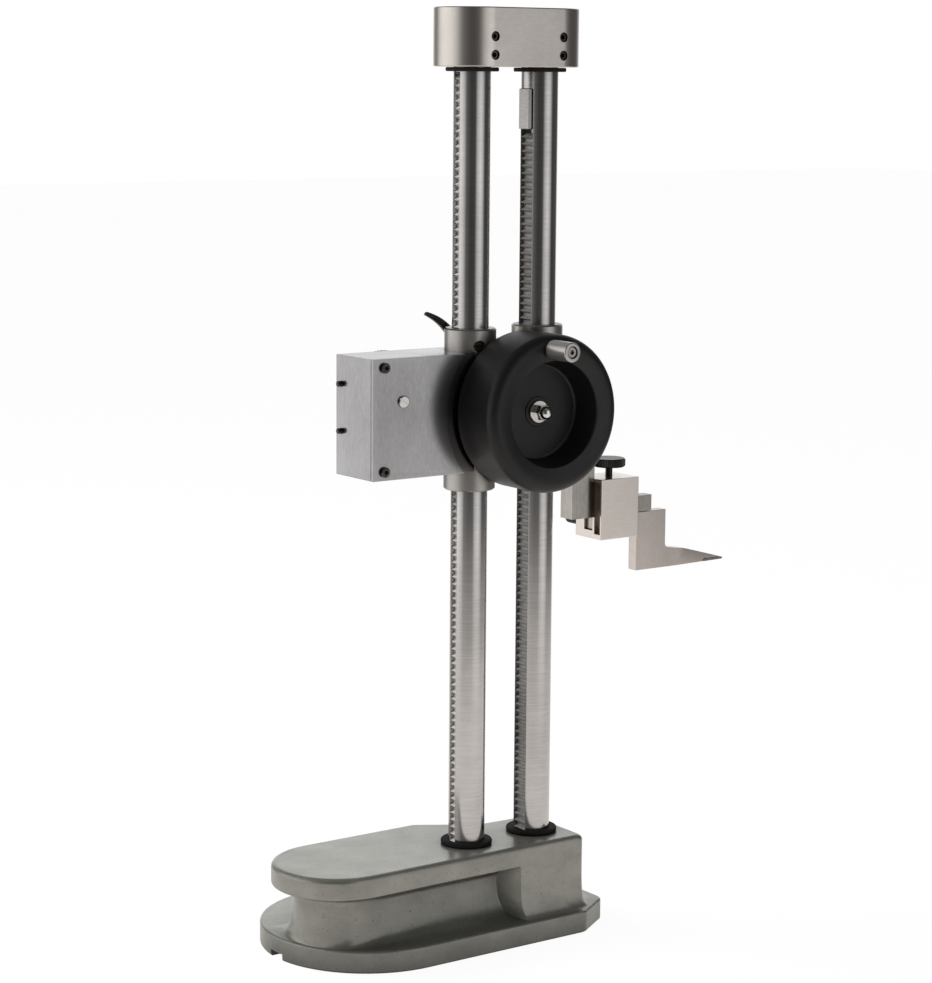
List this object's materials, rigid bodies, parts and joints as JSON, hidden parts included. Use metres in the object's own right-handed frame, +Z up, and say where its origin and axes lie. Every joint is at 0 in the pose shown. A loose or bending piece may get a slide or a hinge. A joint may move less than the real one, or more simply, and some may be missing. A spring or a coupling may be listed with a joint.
{
  "type": "dial height gauge",
  "caption": "Height gauge: heavy base with a grip groove, twin columns with racks, a geared slider with a dial, a dished handwheel with a crank, and a clamped scriber on an arm.",
  "frame": {"origin": "on the base's underside, midway between the two column axes", "axes": "+Z up along the columns, +X towards the scriber, +Y towards the dial, -Y towards the handwheel"},
  "size_m": [0.2955, 0.1516, 0.5091],
  "materials": {
    "enamel": "grey hammertone enamel on cast iron",
    "ground_steel": "ground and plated bar",
    "satin_steel": "satin plated steel",
    "dark_steel": "black oxide steel",
    "case_alloy": "satin alloy",
    "black_plastic": "black moulding, slight sheen",
    "rubber": "black rubber",
    "brass": "turned brass",
    "chrome": "polished plate",
    "dial_white": "white printed dial",
    "clear_glass": "clear crystal"
  },
  "bodies": {
    "stand": {"base_casting": "enamel", "plain_column": "ground_steel", "rack_column": "ground_steel", "drive_rack": "satin_steel", "measuring_rack": "satin_steel", "rack_stop": "dark_steel", "lower_bumper_left": "rubber", "lower_bumper_right": "rubber", "upper_bumper_left": "rubber", "upper_bumper_right": "rubber", "top_block": "satin_steel", "grub_screw_left_lower": "dark_steel", "grub_screw_left_upper": "dark_steel", "grub_screw_right_lower": "dark_steel", "grub_screw_right_upper": "dark_steel", "column_bolt_left": "dark_steel", "column_bolt_right": "dark_steel"},
    "slider": {"slider_body": "satin_steel", "gib_screw": "dark_steel", "clamp_pad": "brass", "gear_case": "case_alloy", "back_cover": "case_alloy", "cover_screw_upper": "dark_steel", "cover_screw_lower": "dark_steel", "bearing_screw": "chrome", "movement_plate": "brass", "counter_frame": "satin_steel", "up_counter_axle": "satin_steel", "down_counter_axle": "satin_steel", "dial_plate": "dial_white", "bezel_lock_screw": "satin_steel", "measuring_arm": "satin_steel", "scriber_clamp": "satin_steel"},
    "wheel": {"handwheel": "black_plastic", "drive_shaft": "satin_steel", "hub_washer": "satin_steel", "cap_nut": "chrome", "crank_screw": "satin_steel"},
    "crank": {"crank_handle": "chrome"},
    "idler": {"rack_pinion": "satin_steel"},
    "first_arbor": {"measuring_arbor": "brass"},
    "second_arbor": {"carry_arbor": "brass"},
    "hand": {"pointer_arbor": "brass", "pointer": "black_plastic"},
    "backlash": {"backlash_arbor": "brass"},
    "up_hundreds": {"up_counter_hundreds": "black_plastic"},
    "up_tens": {"up_counter_tens": "black_plastic"},
    "up_units": {"up_counter_units": "black_plastic"},
    "down_hundreds": {"down_counter_hundreds": "black_plastic"},
    "down_tens": {"down_counter_tens": "black_plastic"},
    "down_units": {"down_counter_units": "black_plastic"},
    "dial_bezel": {"bezel": "satin_steel", "crystal": "clear_glass"},
    "lever": {"clamp_lever": "dark_steel"},
    "up_button": {"reset_button_up": "satin_steel"},
    "down_button": {"reset_button_down": "satin_steel"},
    "knob": {"clamp_knob": "dark_steel"},
    "lock": {"side_screw": "dark_steel"},
    "blade": {"scriber": "satin_steel", "carbide_tip": "dark_steel"}
  },
  "joints": [
    {"name": "slider_slide", "type": "slide", "parent": "stand", "child": "slider", "axis": [0, 0, 1], "range_m": [-0.19555, 0.1051]},
    {"name": "wheel_turn", "type": "hinge", "parent": "slider", "child": "wheel", "pos_m": [0, -0.03, 0.296], "axis": [0, 1, 0], "continuous": true},
    {"name": "crank_spin", "type": "hinge", "parent": "wheel", "child": "crank", "pos_m": [-0.00329, -0.056, 0.33084], "axis": [0, 1, 0], "continuous": true},
    {"name": "idler_turn", "type": "hinge", "parent": "slider", "child": "idler", "pos_m": [0.00761, 0, 0.30592], "axis": [0, 1, 0], "continuous": true},
    {"name": "first_arbor_turn", "type": "hinge", "parent": "slider", "child": "first_arbor", "pos_m": [-0.03748, 0, 0.296], "axis": [0, 1, 0], "continuous": true},
    {"name": "second_arbor_turn", "type": "hinge", "parent": "slider", "child": "second_arbor", "pos_m": [-0.05182, 0, 0.30688], "axis": [0, 1, 0], "continuous": true},
    {"name": "hand_turn", "type": "hinge", "parent": "slider", "child": "hand", "pos_m": [-0.0645, 0, 0.3002], "axis": [0, 1, 0], "continuous": true},
    {"name": "backlash_turn", "type": "hinge", "parent": "slider", "child": "backlash", "pos_m": [-0.078, 0, 0.305], "axis": [0, 1, 0], "continuous": true},
    {"name": "up_hundreds_turn", "type": "hinge", "parent": "slider", "child": "up_hundreds", "pos_m": [-0.0599, 0.0122, 0.3127], "axis": [1, 0, 0], "range_deg": [-71, 38.5]},
    {"name": "up_tens_turn", "type": "hinge", "parent": "slider", "child": "up_tens", "pos_m": [-0.0645, 0.0122, 0.3127], "axis": [1, 0, 0], "range_deg": [-705, 379.5]},
    {"name": "up_units_turn", "type": "hinge", "parent": "slider", "child": "up_units", "pos_m": [-0.0691, 0.0122, 0.3127], "axis": [1, 0, 0], "continuous": true},
    {"name": "down_hundreds_turn", "type": "hinge", "parent": "slider", "child": "down_hundreds", "pos_m": [-0.0599, 0.0122, 0.2877], "axis": [1, 0, 0], "range_deg": [-38.5, 71]},
    {"name": "down_tens_turn", "type": "hinge", "parent": "slider", "child": "down_tens", "pos_m": [-0.0645, 0.0122, 0.2877], "axis": [1, 0, 0], "range_deg": [-379.5, 705]},
    {"name": "down_units_turn", "type": "hinge", "parent": "slider", "child": "down_units", "pos_m": [-0.0691, 0.0122, 0.2877], "axis": [1, 0, 0], "continuous": true},
    {"name": "bezel_turn", "type": "hinge", "parent": "slider", "child": "dial_bezel", "pos_m": [-0.0645, 0.021, 0.3002], "axis": [0, 1, 0], "continuous": true},
    {"name": "lever_turn", "type": "hinge", "parent": "slider", "child": "lever", "pos_m": [-0.021, 0.018, 0.3337], "axis": [0, 1, 0], "range_deg": [-20, 100]},
    {"name": "up_button_press", "type": "slide", "parent": "slider", "child": "up_button", "axis": [1, 0, 0], "range_m": [0, 0.0015], "stiffness_N_per_m": 250, "springref_m": -0.0005},
    {"name": "down_button_press", "type": "slide", "parent": "slider", "child": "down_button", "axis": [1, 0, 0], "range_m": [0, 0.0015], "stiffness_N_per_m": 250, "springref_m": -0.0005},
    {"name": "knob_turn", "type": "hinge", "parent": "slider", "child": "knob", "pos_m": [0.0746, 0, 0.259], "axis": [0, 0, 1], "continuous": true},
    {"name": "side_screw_turn", "type": "hinge", "parent": "slider", "child": "lock", "pos_m": [0.065, 0.02, 0.2256], "axis": [0, 1, 0], "continuous": true},
    {"name": "scriber_slide", "type": "slide", "parent": "slider", "child": "blade", "axis": [1, 0, 0], "range_m": [-0.003, 0.012]}
  ],
  "couplings": [
    {"joint": "wheel_turn", "follows": "slider_slide", "rad_per_m": -200},
    {"joint": "idler_turn", "follows": "slider_slide", "rad_per_m": 133.33},
    {"joint": "first_arbor_turn", "follows": "slider_slide", "rad_per_m": 157.08},
    {"joint": "second_arbor_turn", "follows": "slider_slide", "rad_per_m": -785.4},
    {"joint": "hand_turn", "follows": "slider_slide", "rad_per_m": 6283.2},
    {"joint": "backlash_turn", "follows": "slider_slide", "rad_per_m": -785.4},
    {"joint": "up_hundreds_turn", "follows": "slider_slide", "rad_per_m": 6.2832},
    {"joint": "up_tens_turn", "follows": "slider_slide", "rad_per_m": 62.832},
    {"joint": "up_units_turn", "follows": "slider_slide", "rad_per_m": 628.32},
    {"joint": "down_hundreds_turn", "follows": "slider_slide", "rad_per_m": -6.2832},
    {"joint": "down_tens_turn", "follows": "slider_slide", "rad_per_m": -62.832},
    {"joint": "down_units_turn", "follows": "slider_slide", "rad_per_m": -628.32}
  ]
}
